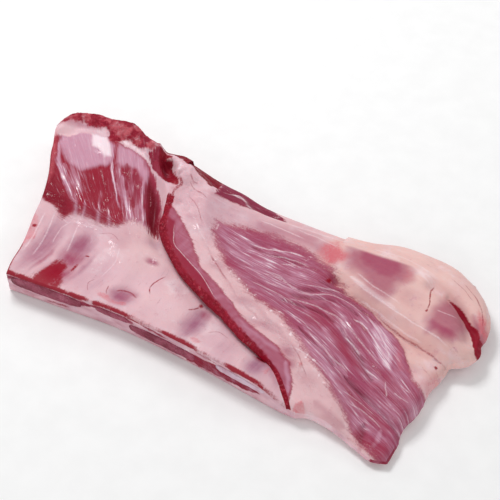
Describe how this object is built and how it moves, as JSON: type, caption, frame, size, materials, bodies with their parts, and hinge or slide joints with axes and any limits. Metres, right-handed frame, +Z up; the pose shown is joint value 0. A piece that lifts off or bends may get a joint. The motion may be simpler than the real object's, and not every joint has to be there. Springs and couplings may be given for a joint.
{
  "type": "raw lamb flap",
  "caption": "Raw lamb breast and flank in one flat piece, inside up: rib sheet with sawn half breastbone, skirt muscle with a cut lip, fat ridge, flank muscle, tucked fat end.",
  "frame": {"origin": "middle of the underside, on the surface that the flap lies on", "axes": "+X along the flap from the rib end to the tucked flank end, +Y from the sawn breastbone edge to the far edge, +Z up from the table through the inside face"},
  "size_m": [0.32, 0.1484, 0.0296],
  "materials": {
    "flesh": "wet raw meat under pink-white fat and thin silvery membrane",
    "marrow_bone": "sawn spongy bone, dark red and damp",
    "cartilage": "smooth, white with a pink cast, damp"
  },
  "bodies": {
    "root": {"flap_meat": "flesh", "breastbone_front": "marrow_bone", "breastbone_middle": "marrow_bone", "breastbone_rear": "marrow_bone", "breastbone_cartilage": "cartilage"}
  },
  "joints": []
}
